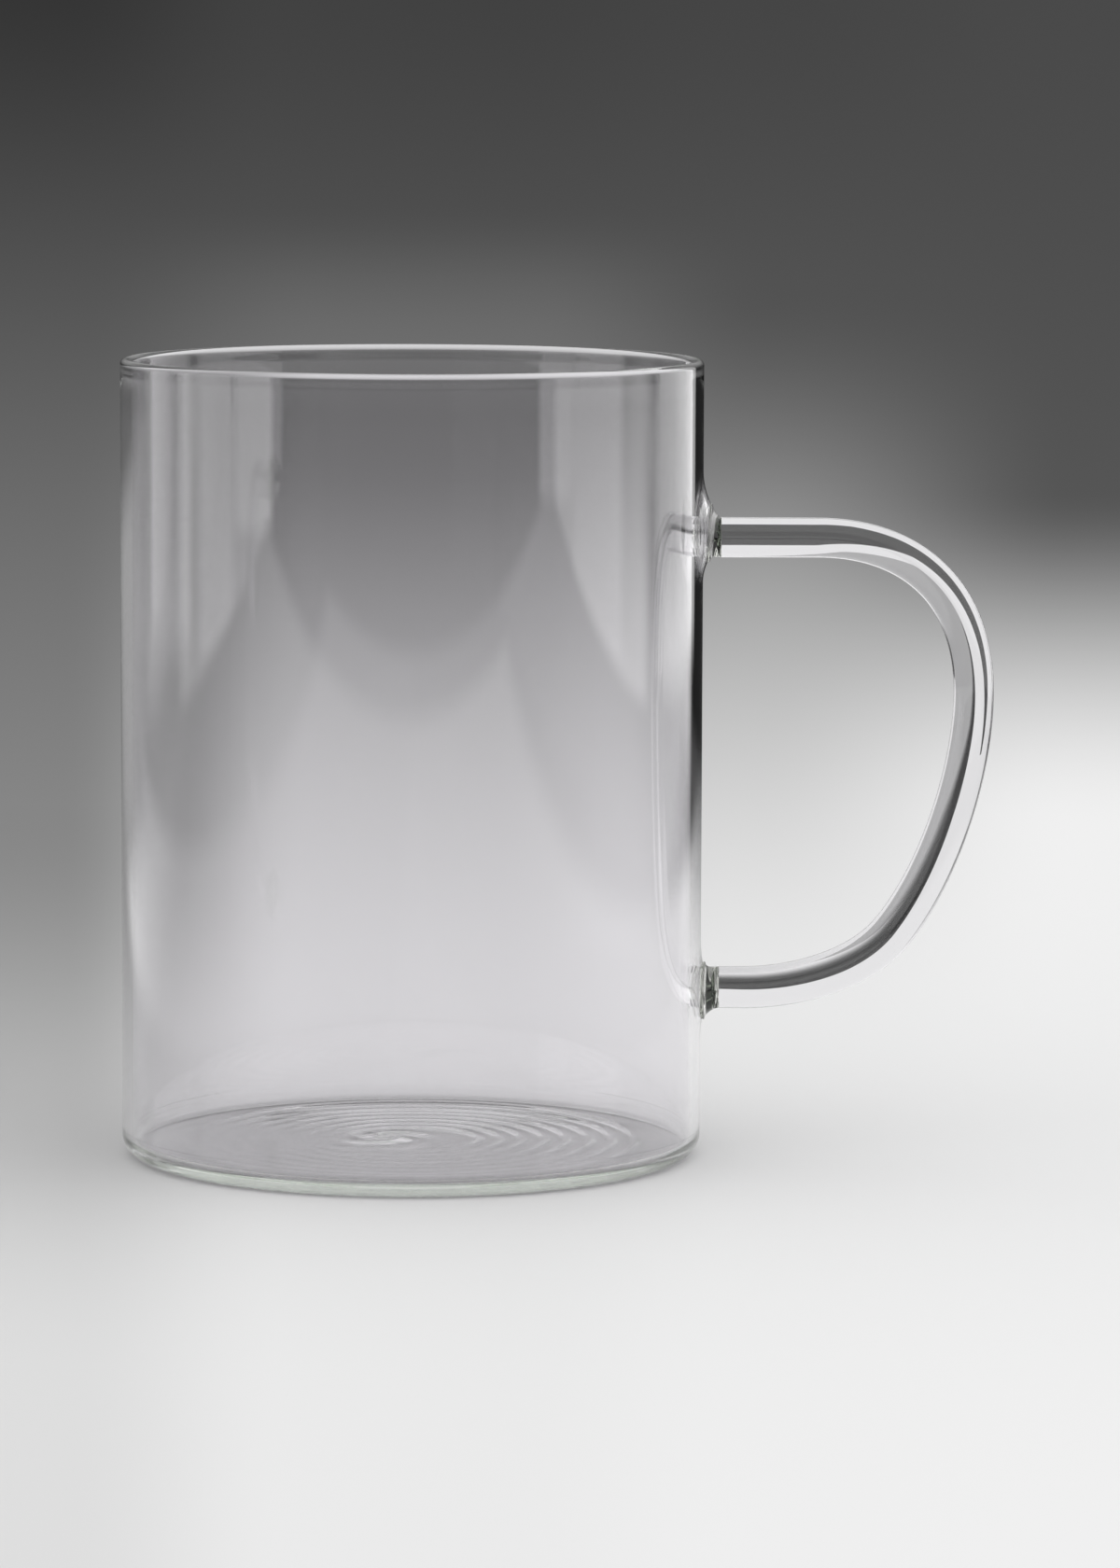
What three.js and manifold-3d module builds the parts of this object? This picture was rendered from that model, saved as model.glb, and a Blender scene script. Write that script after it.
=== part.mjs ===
// Lampworked glass mug: a tube with a fire-polished rim, a flattened base with a rounded heel,
// and a bent rod handle that two flared seals join to the wall.
// Millimetres, +Z up. The origin is on the cup's axis, in the face that the cup stands on.
// The handle lies in the XZ plane, on the +X side.
import * as THREE from 'three';
import { mergeVertices } from 'three/addons/utils/BufferGeometryUtils.js';
import Module from 'manifold-3d';

// Cup
const CUP_DIAMETER = 80;
const CUP_HEIGHT = 110;
const WALL = 1.5;
const RIM_SWELL = 0.6; // what the polished bead adds to the wall, all of it on the inside
const RIM_RUN_OUT = 1.4; // from the bead's thickest point down to the plain wall
const FLOOR_THICKNESS = 2.1;
const HEEL_RADIUS = 3;
const FLOOR_FILLET = 1.2; // inside corner between the floor and the wall
const SEAM_LAND = 0.7; // straight wall on the base above its corners, up to the butt seam
const RIPPLE_HEIGHT = 0.1; // rings left in the floor by flattening the closed end
const RIPPLE_PITCH = 3.6;
const CLOSING_MARK_DIAMETER = 5; // raised spot where the tube's end was closed
const CLOSING_MARK_HEIGHT = 0.3;

// Handle rod: reaches are taken from the outside of the wall, and an ease is the length over
// which a curve keeps to the direction that it has at its end
const ROD_DIAMETER = 5.6;
const UPPER_SEAL_DROP = 24.4; // from the rim down to the rod's upper run
const LOWER_SEAL_HEIGHT = 23.2; // from the underside up to the rod's lower run
const UPPER_RUN_REACH = 15.9; // where the level upper run starts to bend
const UPPER_BEND_EASE = 12.9;
const GRIP_REACH = 37.4; // rod's centre at the outermost point of the grip
const GRIP_DROP = 21.3; // outermost point below the upper run
const GRIP_UPPER_EASE = 13.6;
const GRIP_LOWER_EASE = 11.1;
const LOWER_TURN_REACH = 26.3; // where the sweep turns in under the hand
const LOWER_TURN_RISE = 7.7; // that turn above the lower run
const LOWER_TURN_SLOPE = THREE.MathUtils.degToRad(51);
const LOWER_TURN_UPPER_EASE = 10.2;
const LOWER_TURN_LOWER_EASE = 6.8;
const LOWER_RUN_REACH = 5.9; // where the lower run levels off
const LOWER_RUN_EASE = 7.2;

// Seals, and the wall drawn out under them
const SEAL_DIAMETER = 8;
const SEAL_LENGTH = 1.5;
const BOSS_HEIGHT = 1; // drawn-out wall above the cup's outside, where the seal sits
const BOSS_RISE = 4.4; // run of the boss above and below the seal
const BOSS_SHOULDER = 0.8; // run of the boss on either side of the seal
const DIMPLE_DEPTH = 1.3; // hollow that the drawing leaves on the inside of the wall
const DIMPLE_WIDTH = 9;
const DIMPLE_MARGIN = 0.9; // the dimple stops this far short of the boss, above and below

// Facets
const CUP_SIDES = 72;
const ROD_SIDES = 24;
const ROD_STEPS = 52;
const RIM_STEPS = 8;
const CORNER_STEPS = 5;
const RUN_OUT_STEPS = 4;
const FLARE_STEPS = 6;
const DIMPLE_RINGS = 14;
const MERGE_TOLERANCE = 1e-5;

// Sizes that follow from those above
const cupRadius = CUP_DIAMETER / 2;
const innerRadius = cupRadius - WALL;
const seamHeight = Math.max(HEEL_RADIUS, FLOOR_THICKNESS + FLOOR_FILLET) + SEAM_LAND;
const upperRunHeight = CUP_HEIGHT - UPPER_SEAL_DROP;
const sealRadius = SEAL_DIAMETER / 2;
const rodRadius = ROD_DIAMETER / 2;
const seatX = cupRadius + BOSS_HEIGHT;
const rodEndX = seatX + SEAL_LENGTH;

const wasm = await Module();
wasm.setup();

// Evenly spaced shares of a run, from 0 to 1.
function shares(steps) {
  return Array.from({ length: steps + 1 }, (_, i) => i / steps);
}

// Points of an arc in a profile, from one angle to another about a centre.
function arc(centreR, centreZ, radius, from, to, steps) {
  return shares(steps).map((t) => {
    const angle = THREE.MathUtils.lerp(from, to, t);
    return new THREE.Vector2(centreR + radius * Math.cos(angle), centreZ + radius * Math.sin(angle));
  });
}

// A profile of radius and height, turned about Z.
function revolve(profile, sides) {
  return new THREE.LatheGeometry(profile, sides).rotateX(Math.PI / 2);
}

// A profile of radius and distance, turned about X.
function revolveAlongX(profile, sides) {
  return new THREE.LatheGeometry(profile, sides).rotateZ(-Math.PI / 2);
}

// A closed geometry as a solid that can be joined and cut.
function toSolid(geometry) {
  const bare = geometry.clone();
  bare.deleteAttribute('normal');
  bare.deleteAttribute('uv');
  const merged = mergeVertices(bare, MERGE_TOLERANCE);
  const index = merged.index.array;
  const triangles = [];
  for (let i = 0; i < index.length; i += 3) {
    const [a, b, c] = index.subarray(i, i + 3);
    if (a !== b && b !== c && c !== a) triangles.push(a, b, c);
  }
  const vertProperties = Float32Array.from(merged.attributes.position.array);
  const triVerts = Uint32Array.from(triangles);
  return new wasm.Manifold(new wasm.Mesh({ numProp: 3, vertProperties, triVerts }));
}

// A solid back as a geometry.
function toGeometry(solid) {
  const { vertProperties, triVerts } = solid.getMesh();
  const geometry = new THREE.BufferGeometry();
  geometry.setAttribute('position', new THREE.BufferAttribute(vertProperties, 3));
  geometry.setIndex(new THREE.BufferAttribute(triVerts, 1));
  return geometry;
}

// Straight tube: the rim is a half round, and its bead runs out smoothly down the inner wall.
function tubeProfile() {
  const beadRadius = (WALL + RIM_SWELL) / 2;
  const beadHeight = CUP_HEIGHT - beadRadius;
  const runOut = shares(RUN_OUT_STEPS).slice(1).map((t) => {
    const swell = RIM_SWELL * (1 - THREE.MathUtils.smoothstep(t, 0, 1));
    return new THREE.Vector2(innerRadius - swell, beadHeight - RIM_RUN_OUT * t);
  });
  return [
    new THREE.Vector2(innerRadius, seamHeight),
    new THREE.Vector2(cupRadius, seamHeight),
    ...arc(cupRadius - beadRadius, beadHeight, beadRadius, 0, Math.PI, RIM_STEPS),
    ...runOut,
    new THREE.Vector2(innerRadius, seamHeight),
  ];
}

// Low boss under a seal: round where the seal sits, drawn out above and below it, rooted in the wall.
function bossGeometry(height) {
  const root = WALL / 2;
  const flank = shares(FLARE_STEPS).map((t) => (
    new THREE.Vector2(sealRadius + BOSS_RISE * (1 - t), root + BOSS_HEIGHT * t * t)
  ));
  const geometry = revolveAlongX([
    new THREE.Vector2(0, 0),
    new THREE.Vector2(sealRadius + BOSS_RISE, 0),
    ...flank,
    new THREE.Vector2(0, root + BOSS_HEIGHT),
  ], ROD_SIDES);
  const position = geometry.attributes.position;
  for (let i = 0; i < position.count; i += 1) {
    const reach = Math.hypot(position.getY(i), position.getZ(i));
    const spread = Math.max(0, reach - sealRadius) / BOSS_RISE;
    const narrowing = (sealRadius + BOSS_SHOULDER * spread) / (sealRadius + BOSS_RISE * spread);
    position.setY(i, position.getY(i) * narrowing);
  }
  return geometry.translate(cupRadius - root, 0, height);
}

// Shallow hollow on the inside of the wall, behind a boss.
function dimpleGeometry(height) {
  const halfHeight = sealRadius + BOSS_RISE - DIMPLE_MARGIN;
  return new THREE.SphereGeometry(1, ROD_SIDES, DIMPLE_RINGS)
    .rotateX(Math.PI / 2)
    .scale(DIMPLE_DEPTH + WALL, DIMPLE_WIDTH / 2, halfHeight)
    .translate(innerRadius - WALL, 0, height);
}

// Tube with its rim, bosses and dimples.
function tubeGeometry() {
  let solid = toSolid(revolve(tubeProfile(), CUP_SIDES));
  for (const height of [upperRunHeight, LOWER_SEAL_HEIGHT]) {
    solid = solid.add(toSolid(bossGeometry(height))).subtract(toSolid(dimpleGeometry(height)));
  }
  return toGeometry(solid);
}

// Flattened base: flat underside, rounded heel, butt seam on top, and a rippled floor.
function baseGeometry() {
  const floorRadius = innerRadius - FLOOR_FILLET;
  const markRadius = CLOSING_MARK_DIAMETER / 2;
  const rippleCount = Math.floor((floorRadius - markRadius) / RIPPLE_PITCH);
  const ripples = [];
  for (let ring = 0; ring < rippleCount; ring += 1) {
    const outer = floorRadius - ring * RIPPLE_PITCH;
    ripples.push(new THREE.Vector2(outer - RIPPLE_PITCH / 2, FLOOR_THICKNESS + RIPPLE_HEIGHT));
    ripples.push(new THREE.Vector2(outer - RIPPLE_PITCH, FLOOR_THICKNESS));
  }
  return revolve([
    new THREE.Vector2(0, 0),
    ...arc(cupRadius - HEEL_RADIUS, HEEL_RADIUS, HEEL_RADIUS, -Math.PI / 2, 0, CORNER_STEPS),
    new THREE.Vector2(cupRadius, seamHeight),
    new THREE.Vector2(innerRadius, seamHeight),
    ...arc(floorRadius, FLOOR_THICKNESS + FLOOR_FILLET, FLOOR_FILLET, 0, -Math.PI / 2, CORNER_STEPS),
    ...ripples,
    new THREE.Vector2(markRadius, FLOOR_THICKNESS),
    new THREE.Vector2(0, FLOOR_THICKNESS + CLOSING_MARK_HEIGHT),
  ], CUP_SIDES);
}

// Centre line of the handle, from its upper end to its lower end.
function handlePath() {
  const at = (reach, height) => new THREE.Vector3(cupRadius + reach, 0, height);
  const gripHeight = upperRunHeight - GRIP_DROP;
  const upperEnd = new THREE.Vector3(rodEndX, 0, upperRunHeight);
  const upperBend = at(UPPER_RUN_REACH, upperRunHeight);
  const grip = at(GRIP_REACH, gripHeight);
  const turn = at(LOWER_TURN_REACH, LOWER_SEAL_HEIGHT + LOWER_TURN_RISE);
  const turnDirection = new THREE.Vector3(-Math.cos(LOWER_TURN_SLOPE), 0, -Math.sin(LOWER_TURN_SLOPE));
  const lowerRun = at(LOWER_RUN_REACH, LOWER_SEAL_HEIGHT);
  const lowerEnd = new THREE.Vector3(rodEndX, 0, LOWER_SEAL_HEIGHT);
  const path = new THREE.CurvePath();
  path.add(new THREE.LineCurve3(upperEnd, upperBend));
  path.add(new THREE.CubicBezierCurve3(
    upperBend,
    at(UPPER_RUN_REACH + UPPER_BEND_EASE, upperRunHeight),
    at(GRIP_REACH, gripHeight + GRIP_UPPER_EASE),
    grip,
  ));
  path.add(new THREE.CubicBezierCurve3(
    grip,
    at(GRIP_REACH, gripHeight - GRIP_LOWER_EASE),
    turn.clone().addScaledVector(turnDirection, -LOWER_TURN_UPPER_EASE),
    turn,
  ));
  path.add(new THREE.CubicBezierCurve3(
    turn,
    turn.clone().addScaledVector(turnDirection, LOWER_TURN_LOWER_EASE),
    at(LOWER_RUN_REACH + LOWER_RUN_EASE, LOWER_SEAL_HEIGHT),
    lowerRun,
  ));
  path.add(new THREE.LineCurve3(lowerRun, lowerEnd));
  return path;
}

// Solid rod along the handle's centre line.
function rodGeometry() {
  const section = new THREE.Shape().absarc(0, 0, rodRadius, 0, 2 * Math.PI, false);
  return new THREE.ExtrudeGeometry(section, {
    extrudePath: handlePath(),
    steps: ROD_STEPS,
    curveSegments: ROD_SIDES / 2,
    bevelEnabled: false,
  });
}

// Flared melt between a boss and an end of the rod.
function sealGeometry() {
  const flare = shares(FLARE_STEPS).map((t) => (
    new THREE.Vector2(THREE.MathUtils.lerp(rodRadius, sealRadius, (1 - t) ** 2), SEAL_LENGTH * t)
  ));
  return revolveAlongX([new THREE.Vector2(0, 0), ...flare, new THREE.Vector2(0, SEAL_LENGTH)], ROD_SIDES);
}

const clearGlass = new THREE.MeshStandardMaterial({
  color: 0xe6eae8, roughness: 0.04, metalness: 0, transparent: true, opacity: 0.35,
});
const sealGlass = new THREE.MeshStandardMaterial({
  color: 0xc9d2c0, roughness: 0.04, metalness: 0, transparent: true, opacity: 0.45,
});

// A named piece of the mug.
function piece(name, geometry, material) {
  const mesh = new THREE.Mesh(geometry, material);
  mesh.name = name;
  return mesh;
}

// A seal on its boss, at the height of the run that it holds.
function seal(name, height) {
  const mesh = piece(name, sealGeometry(), sealGlass);
  mesh.position.set(seatX, 0, height);
  return mesh;
}

const cup = new THREE.Group();
cup.add(piece('body_tube', tubeGeometry(), clearGlass));
cup.add(piece('base', baseGeometry(), clearGlass));

const handle = new THREE.Group();
handle.add(piece('handle_rod', rodGeometry(), clearGlass));
handle.add(seal('upper_handle_seal', upperRunHeight));
handle.add(seal('lower_handle_seal', LOWER_SEAL_HEIGHT));

const mug = new THREE.Group();
mug.add(cup, handle);

export default mug;
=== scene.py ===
"""Clear glass mug with a bent rod handle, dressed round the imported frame.

The mug is made the way a lampworker makes it: a tube with a fire-polished rim, a pressed base, a bent
rod and two melted seals. Each is one closed glass piece that replaces its CAD node. The faces where
two pieces are melted together carry the face attribute "fused" and let light straight through, so
the mug reads as one body of glass.
"""

from __future__ import annotations

import logging
import math
from dataclasses import dataclass
from enum import Enum
from typing import Any, Callable, Sequence

import bmesh
import bpy
from mathutils import Matrix, Vector
from mathutils.geometry import interpolate_bezier


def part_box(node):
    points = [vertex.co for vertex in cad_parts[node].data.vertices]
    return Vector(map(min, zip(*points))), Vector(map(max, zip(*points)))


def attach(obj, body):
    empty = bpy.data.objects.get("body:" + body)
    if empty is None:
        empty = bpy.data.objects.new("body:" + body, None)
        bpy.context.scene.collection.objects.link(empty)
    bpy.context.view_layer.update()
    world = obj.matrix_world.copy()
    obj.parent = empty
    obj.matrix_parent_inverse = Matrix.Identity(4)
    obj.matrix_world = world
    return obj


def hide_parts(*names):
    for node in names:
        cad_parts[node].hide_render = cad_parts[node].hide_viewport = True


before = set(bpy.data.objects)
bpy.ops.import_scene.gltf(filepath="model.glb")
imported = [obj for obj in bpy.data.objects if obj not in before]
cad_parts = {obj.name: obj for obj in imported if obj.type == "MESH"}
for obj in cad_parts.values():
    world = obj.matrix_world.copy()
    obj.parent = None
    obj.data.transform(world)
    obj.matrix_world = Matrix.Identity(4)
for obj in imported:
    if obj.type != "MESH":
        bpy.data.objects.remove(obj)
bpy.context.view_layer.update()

MM = 0.001
JOINT_GAP = 0.02 * MM
MERGE_DISTANCE = 0.001 * MM
TURN_STEPS = 360
FUSED = "fused"
CREASE = math.radians(38)
NO_MIRRORING = 0.5
ONE_BODY = 2.5

log = logging.getLogger("glass_mug")

Point = tuple[float, float]
Colour = tuple[float, float, float]
Knot = tuple[float, float, float]


def smooth(t: float) -> float:
    """Eases t from 0 to 1 with level ends."""
    t = min(max(t, 0.0), 1.0)
    return t * t * (3.0 - 2.0 * t)


def mix(a: float, b: float, t: float) -> float:
    """Goes from a to b as t goes from 0 to 1."""
    return a + (b - a) * t


def arc(centre: Point, radius: float, start: float, end: float, steps: int) -> list[Point]:
    """Points along a circular arc in a profile.

    Args:
        centre: Middle of the arc as radius and height.
        radius: Radius of the arc.
        start: First angle, in degrees from outwards.
        end: Last angle, in degrees.
        steps: Number of chords.

    Returns:
        The points, both ends included.
    """
    points = []
    for step in range(steps + 1):
        angle = math.radians(mix(start, end, step / steps))
        points.append((centre[0] + radius * math.cos(angle), centre[1] + radius * math.sin(angle)))
    return points


class Value:
    """A shader socket that Python operators extend with Math nodes."""

    def __init__(self, graph: "Graph", socket: bpy.types.NodeSocket) -> None:
        """Keeps the graph and the output socket."""
        self.graph = graph
        self.socket = socket

    def _math(self, operation: str, first: Any, second: Any) -> "Value":
        """Adds one Math node on two values."""
        return self.graph.node("ShaderNodeMath", {"operation": operation}, {0: first, 1: second})

    def __add__(self, other: Any) -> "Value":
        """Sum."""
        return self._math("ADD", self, other)

    __radd__ = __add__

    def __sub__(self, other: Any) -> "Value":
        """Difference."""
        return self._math("SUBTRACT", self, other)

    def __rsub__(self, other: Any) -> "Value":
        """Difference with a plain number first."""
        return self._math("SUBTRACT", other, self)

    def __mul__(self, other: Any) -> "Value":
        """Product."""
        return self._math("MULTIPLY", self, other)

    __rmul__ = __mul__

    def __truediv__(self, other: Any) -> "Value":
        """Quotient."""
        return self._math("DIVIDE", self, other)

    def __pow__(self, other: Any) -> "Value":
        """Power."""
        return self._math("POWER", self, other)

    def ramp(self, low: float, high: float, start: float = 0.0, end: float = 1.0) -> "Value":
        """Eases the value from low..high to start..end.

        Args:
            low: Value that maps to start.
            high: Value that maps to end.
            start: Result at low and under it.
            end: Result at high and over it.

        Returns:
            The eased value.
        """
        settings = {"interpolation_type": "SMOOTHSTEP"}
        sockets = {"Value": self, 1: low, 2: high, 3: start, 4: end}
        return self.graph.node("ShaderNodeMapRange", settings, sockets)


class Graph:
    """Builds one node tree."""

    def __init__(self, tree: bpy.types.NodeTree) -> None:
        """Takes over the tree and empties it."""
        self.tree = tree
        tree.nodes.clear()

    def node(
        self,
        kind: str,
        settings: dict[str, Any] | None = None,
        sockets: dict[Any, Any] | None = None,
        output: str | int = 0,
    ) -> Value:
        """Adds a node, sets it up and links it.

        Args:
            kind: Blender's name for the node type.
            settings: Properties of the node, set before its sockets.
            sockets: Values, or Values to link, by the input's name or number.
            output: Name or number of the output that is returned.

        Returns:
            The node's output.
        """
        made = self.tree.nodes.new(kind)
        for name, setting in (settings or {}).items():
            setattr(made, name, setting)
        for key, value in (sockets or {}).items():
            target = made.inputs[key]
            if isinstance(value, Value):
                self.tree.links.new(value.socket, target)
            else:
                target.default_value = value
        if not len(made.outputs):
            return Value(self, made.inputs[0])
        return Value(self, made.outputs[output])

    def coordinates(self, kind: str) -> tuple[Value, Value, Value]:
        """X, Y and Z of one of Texture Coordinate's outputs."""
        place = self.node("ShaderNodeTexCoord", output=kind)
        split = self.node("ShaderNodeSeparateXYZ", {}, {"Vector": place})
        x, y, z = split.socket.node.outputs
        return Value(self, x), Value(self, y), Value(self, z)


def new_material(name: str) -> tuple[bpy.types.Material, Graph]:
    """A new material and its empty node tree."""
    material = bpy.data.materials.new(name)
    material.use_nodes = True
    return material, Graph(material.node_tree)


@dataclass(frozen=True)
class GlassFinish:
    """Fire-polished clear glass: how it bends, tints and mars the light."""

    name: str
    tint: Colour
    absorption: Colour
    density: float
    ior: float = 1.473
    polish: float = 0.0
    smear: float = 0.02
    smear_scale: float = 26.0
    smear_detail: float = 4.0
    smear_range: Point = (0.52, 0.75)
    streak_pitch: tuple[float, float, float] = (240.0, 240.0, 9.0)
    streak_depth: float = 0.002 * MM
    orange_peel_scale: float = 90.0
    orange_peel_depth: float = 0.0015 * MM

    def make(self) -> bpy.types.Material:
        """Builds the glass as a node material.

        Returns:
            The material.
        """
        material, graph = new_material(self.name)
        place = graph.node("ShaderNodeTexCoord", output="Object")
        glass = graph.node(
            "ShaderNodeBsdfPrincipled",
            {},
            {
                "Base Color": (*self.tint, 1.0),
                "Roughness": self._roughness(graph, place),
                "IOR": self.ior,
                "Transmission Weight": 1.0,
                "Normal": self._relief(graph, place),
            },
        )
        through = graph.node("ShaderNodeBsdfTransparent")
        fused = graph.node("ShaderNodeAttribute", {"attribute_name": FUSED}, {}, "Fac")
        surface = graph.node("ShaderNodeMixShader", {}, {0: fused, 1: glass, 2: through})
        absorb = graph.node(
            "ShaderNodeVolumeAbsorption",
            {},
            {"Color": (*self.absorption, 1.0), "Density": self.density},
        )
        graph.node("ShaderNodeOutputMaterial", {}, {"Surface": surface, "Volume": absorb})
        return material

    def _roughness(self, graph: Graph, place: Value) -> Value:
        """Faint smears of a wiped glass over its polish.

        Args:
            graph: Tree to add to.
            place: Object coordinates.

        Returns:
            The roughness.
        """
        sockets = {"Vector": place, "Scale": self.smear_scale, "Detail": self.smear_detail}
        noise = graph.node("ShaderNodeTexNoise", {}, sockets)
        return noise.ramp(*self.smear_range, self.polish, self.polish + self.smear)

    def _relief(self, graph: Graph, place: Value) -> Value:
        """Draw lines along the tube and the soft waves of melted glass.

        Args:
            graph: Tree to add to.
            place: Object coordinates.

        Returns:
            The shading normal.
        """
        stretched = graph.node("ShaderNodeMapping", {}, {"Vector": place, "Scale": self.streak_pitch})
        streaks = graph.node("ShaderNodeTexNoise", {}, {"Vector": stretched, "Scale": 1.0, "Detail": 1.0})
        sockets = {"Vector": place, "Scale": self.orange_peel_scale, "Detail": 0.0}
        waves = graph.node("ShaderNodeTexNoise", {}, sockets)
        height = streaks * self.streak_depth + waves * self.orange_peel_depth
        return graph.node("ShaderNodeBump", {}, {"Height": height, "Distance": 1.0, "Strength": 1.0})


def clear_selection() -> None:
    """Leaves edit mode and deselects everything."""
    if bpy.context.object is not None and bpy.context.object.mode != "OBJECT":
        bpy.ops.object.mode_set(mode="OBJECT")
    bpy.ops.object.select_all(action="DESELECT")


def edit_mode(element: str) -> bmesh.types.BMesh:
    """Enters edit mode on the active object.

    Args:
        element: VERT, EDGE or FACE.

    Returns:
        The mesh being edited.
    """
    bpy.ops.object.mode_set(mode="EDIT")
    bpy.ops.mesh.select_mode(type=element)
    return bmesh.from_edit_mesh(bpy.context.object.data)


def select_where(elements: Any, test: Callable[[Any], bool]) -> None:
    """Selects the vertices, edges or faces that pass a test, and no others.

    Args:
        elements: A sequence of the mesh being edited.
        test: Says whether an element is wanted.
    """
    bpy.ops.mesh.select_all(action="DESELECT")
    for element in elements:
        if test(element):
            element.select_set(True)


def turned(name: str, profile: Sequence[Point]) -> bpy.types.Object:
    """Turns a profile about the Z axis, as on a lathe.

    A plane's corner is kept, extruded along the profile and spun.

    Args:
        name: Name of the new object.
        profile: Radius and height of each point.

    Returns:
        The turned object, in object mode.
    """
    clear_selection()
    size = 1.0 * MM
    radius, height = profile[0]
    bpy.ops.mesh.primitive_plane_add(size=size, location=(radius + size / 2, size / 2, height))
    piece = bpy.context.object
    piece.name = name
    bpy.ops.object.transform_apply(location=True, rotation=True, scale=True)
    mesh = edit_mode("VERT")
    start = Vector((radius, 0.0, height))
    select_where(mesh.verts, lambda vert: (vert.co - start).length > size / 2)
    bpy.ops.mesh.delete(type="VERT")
    bpy.ops.mesh.select_all(action="SELECT")
    for (r0, z0), (r1, z1) in zip(profile, profile[1:]):
        move = {"value": (r1 - r0, 0.0, z1 - z0)}
        bpy.ops.mesh.extrude_vertices_move(TRANSFORM_OT_translate=move)
    bpy.ops.mesh.select_all(action="SELECT")
    bpy.ops.mesh.spin(steps=TURN_STEPS, angle=math.tau, center=(0, 0, 0), axis=(0, 0, 1))
    close_up()
    bpy.ops.object.mode_set(mode="OBJECT")
    return piece


def close_up() -> None:
    """Merges doubles of the mesh being edited and turns its faces outwards."""
    bpy.ops.mesh.select_all(action="SELECT")
    bpy.ops.mesh.remove_doubles(threshold=MERGE_DISTANCE)
    bpy.ops.mesh.normals_make_consistent(inside=False)


class Seat(Enum):
    """The two places where the handle joins the wall, by CAD node."""

    UPPER = "upper_handle_seal"
    LOWER = "lower_handle_seal"

    def rod_height(self) -> float:
        """Height of the rod's axis at this seal."""
        low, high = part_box(self.value)
        return (low.z + high.z) / 2


@dataclass(frozen=True)
class Boss:
    """Low keel that the wall is drawn out to under a handle seal."""

    rod_height: float
    ring_lift: float
    ring_radius: float
    ring_width: float
    rise: float
    above: float
    below: float
    side: float
    dimple: float
    crown: float = 0.4

    @property
    def middle(self) -> float:
        """Height of the melted ring's middle."""
        return self.rod_height + self.ring_lift

    def _share(self, y: float, z: float) -> float:
        """How far the keel is drawn out at a place on the wall, from 0 to 1."""
        reach = self.above if z > self.middle else self.below
        ratio = math.hypot(y / self.side, (z - self.middle) / reach)
        fade = min(max((ratio - self.crown) / (1.0 - self.crown), 0.0), 1.0)
        return (1.0 - fade) ** 2

    def outer_rise(self, y: float, z: float) -> float:
        """How far the outside of the wall is drawn out."""
        return self.rise * self._share(y, z)

    def inner_rise(self, y: float, z: float) -> float:
        """How far the inside of the wall follows."""
        return self.dimple * self._share(y, z)

    def ring_point(self, angle: float) -> Point:
        """A point of the melted ring as y and z."""
        return (self.ring_width * math.cos(angle), self.middle + self.ring_radius * math.sin(angle))


@dataclass(frozen=True)
class Wall:
    """The straight wall of the cup with its two bosses."""

    radius: float
    thickness: float
    bosses: tuple[Boss, ...]

    @property
    def bore(self) -> float:
        """Inside radius."""
        return self.radius - self.thickness

    def outside(self, y: float, z: float) -> float:
        """X of the wall's outside, on the handle's side."""
        flat = math.sqrt(self.radius**2 - y**2)
        return flat + sum(boss.outer_rise(y, z) for boss in self.bosses)

    def inside_shift(self, y: float, z: float) -> float:
        """How far the wall's inside is drawn towards the handle."""
        return sum(boss.inner_rise(y, z) for boss in self.bosses)


@dataclass
class GlassPiece:
    """One piece of glass that replaces a CAD node."""

    name: str
    node: str
    slot: str

    def shape(self) -> bpy.types.Object:
        """Models the piece."""
        raise NotImplementedError

    def is_fused(self, face: bmesh.types.BMFace) -> bool:
        """Says whether a face is melted to another piece."""
        raise NotImplementedError

    def make(self, finish: bpy.types.Material) -> bpy.types.Object:
        """Args:
            finish: The glass.

        Returns:
            The finished object.
        """
        piece = self.shape()
        clear_selection()
        piece.select_set(True)
        bpy.context.view_layer.objects.active = piece
        bpy.ops.object.shade_smooth_by_angle(angle=CREASE)
        self._mark_fused(piece)
        piece.data.materials.clear()
        piece.data.materials.append(finish)
        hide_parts(self.node)
        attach(piece, "root")
        piece.data.calc_loop_triangles()
        log.info("%s: %d triangles", self.name, len(piece.data.loop_triangles))
        return piece

    def _mark_fused(self, piece: bpy.types.Object) -> None:
        """Marks the melted faces, which shade flat so that they don't bend their neighbours' normals."""
        mesh = bmesh.new()
        mesh.from_mesh(piece.data)
        layer = mesh.faces.layers.float.new(FUSED)
        for face in mesh.faces:
            fused = self.is_fused(face)
            face[layer] = 1.0 if fused else 0.0
            face.smooth = not fused
        mesh.to_mesh(piece.data)
        mesh.free()


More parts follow.
